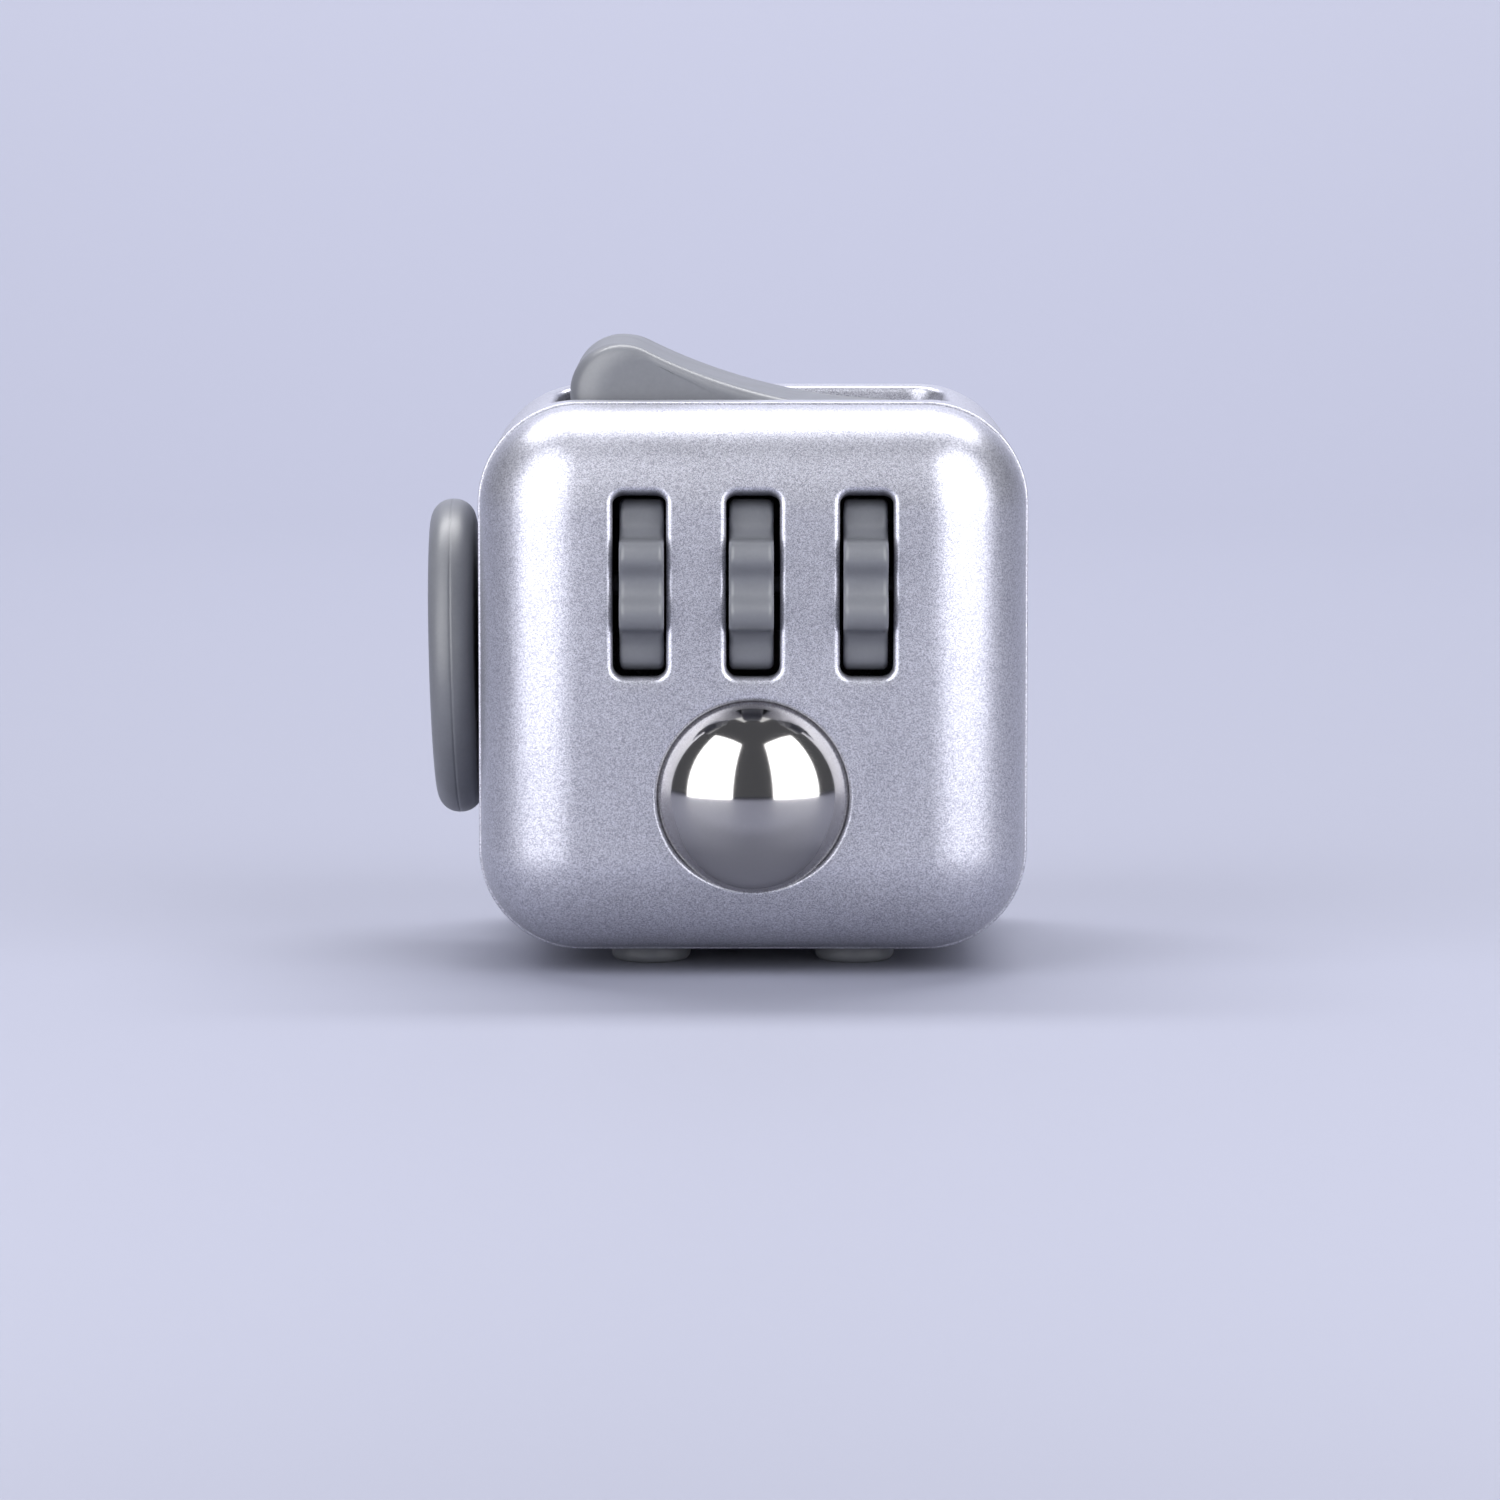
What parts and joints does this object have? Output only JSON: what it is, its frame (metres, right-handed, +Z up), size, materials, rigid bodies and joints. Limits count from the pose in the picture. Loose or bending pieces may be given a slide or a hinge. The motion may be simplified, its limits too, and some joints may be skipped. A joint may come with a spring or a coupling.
{
  "type": "fidget cube",
  "caption": "Rounded cube desk toy with toothed wheels, steel ball, gliding pad, rocker switch, worry dish, click buttons and spinning dial on its sides.",
  "frame": {"origin": "flat tip of the centre click button, under the cube's centre, in the plane that the cube stands on", "axes": "+Z up through the rocker switch; -Y towards the side with the wheels and the ball; +X towards the worry dish"},
  "size_m": [0.0364, 0.0389, 0.0376],
  "materials": {
    "body": "satin",
    "control": "satin",
    "inner_plastic": "matte",
    "ball": "polished",
    "steel": "satin"
  },
  "bodies": {
    "shell": {"front_shell": "body", "middle_shell": "body", "rear_shell": "body", "wheel_axle": "steel", "wheel_frame": "inner_plastic", "wheel_spring": "steel", "wheel_frame_screws": "steel", "ball_spring": "steel", "ball_bracket": "inner_plastic", "ball_bracket_screws": "steel", "glide_retainer": "inner_plastic", "glide_spring": "steel", "glide_retainer_screws": "steel", "flip_pin": "steel", "flip_cradle": "inner_plastic", "flip_spring": "steel", "flip_cradle_screws": "steel", "spring_centre": "steel", "spring_front_left": "steel", "spring_front_right": "steel", "spring_back_left": "steel", "spring_back_right": "steel", "button_plate": "inner_plastic", "button_plate_screws": "steel"},
    "wheel_left": {"wheel_left": "control"},
    "wheel_middle": {"wheel_middle": "control"},
    "wheel_right": {"wheel_right": "control"},
    "ball_carrier": {"ball_cup": "inner_plastic"},
    "ball": {"ball": "ball"},
    "glide_carriage": {"glide_carriage": "inner_plastic"},
    "glide_pad": {"glide_pad": "control", "glide_slider": "inner_plastic", "glide_screw": "steel"},
    "flip_rocker": {"flip_rocker": "control"},
    "button_centre": {"button_centre": "control"},
    "button_front_left": {"button_front_left": "control"},
    "button_front_right": {"button_front_right": "control"},
    "button_back_left": {"button_back_left": "control"},
    "button_back_right": {"button_back_right": "control"},
    "dial": {"dial": "control", "dial_washer": "steel", "dial_screw": "steel"}
  },
  "joints": [
    {"name": "wheel_left_turn", "type": "hinge", "parent": "shell", "child": "wheel_left", "pos_m": [-0.0066, -0.0127, 0.0235], "axis": [1, 0, 0], "continuous": true},
    {"name": "wheel_middle_turn", "type": "hinge", "parent": "shell", "child": "wheel_middle", "pos_m": [-0.0001, -0.0127, 0.0235], "axis": [1, 0, 0], "continuous": true},
    {"name": "wheel_right_turn", "type": "hinge", "parent": "shell", "child": "wheel_right", "pos_m": [0.00668, -0.0127, 0.0235], "axis": [1, 0, 0], "continuous": true},
    {"name": "ball_press", "type": "slide", "parent": "shell", "child": "ball_carrier", "axis": [0, 1, 0], "range_m": [0, 0.0008], "stiffness_N_per_m": 1200, "springref_m": -0.001, "deforming": ["ball_spring"]},
    {"name": "ball_roll", "type": "hinge", "parent": "ball_carrier", "child": "ball", "pos_m": [0, -0.0135, 0.0111], "axis": [1, 0, 0], "continuous": true},
    {"name": "glide_up_down", "type": "slide", "parent": "shell", "child": "glide_carriage", "axis": [0, 0, 1], "range_m": [-0.002, 0.002], "stiffness_N_per_m": 250, "deforming": ["glide_spring"]},
    {"name": "glide_front_back", "type": "slide", "parent": "glide_carriage", "child": "glide_pad", "axis": [0, 1, 0], "range_m": [-0.002, 0.002], "stiffness_N_per_m": 250, "deforming": ["glide_spring"]},
    {"name": "flip_tilt", "type": "hinge", "parent": "shell", "child": "flip_rocker", "pos_m": [0, 0, 0.0322], "axis": [0, 1, 0], "range_deg": [-28.4, 0]},
    {"name": "click_centre", "type": "slide", "parent": "shell", "child": "button_centre", "axis": [0, 0, 1], "range_m": [0, 0.0012], "stiffness_N_per_m": 600, "springref_m": -0.001, "deforming": ["spring_centre"]},
    {"name": "click_front_left", "type": "slide", "parent": "shell", "child": "button_front_left", "axis": [0, 0, 1], "range_m": [0, 0.0012], "stiffness_N_per_m": 600, "springref_m": -0.001, "deforming": ["spring_front_left"]},
    {"name": "click_front_right", "type": "slide", "parent": "shell", "child": "button_front_right", "axis": [0, 0, 1], "range_m": [0, 0.0012], "stiffness_N_per_m": 600, "springref_m": -0.001, "deforming": ["spring_front_right"]},
    {"name": "click_back_left", "type": "slide", "parent": "shell", "child": "button_back_left", "axis": [0, 0, 1], "range_m": [0, 0.0012], "stiffness_N_per_m": 600, "springref_m": -0.001, "deforming": ["spring_back_left"]},
    {"name": "click_back_right", "type": "slide", "parent": "shell", "child": "button_back_right", "axis": [0, 0, 1], "range_m": [0, 0.0012], "stiffness_N_per_m": 600, "springref_m": -0.001, "deforming": ["spring_back_right"]},
    {"name": "dial_turn", "type": "hinge", "parent": "shell", "child": "dial", "pos_m": [0, 0.0168, 0.0177], "axis": [0, 1, 0], "continuous": true}
  ]
}
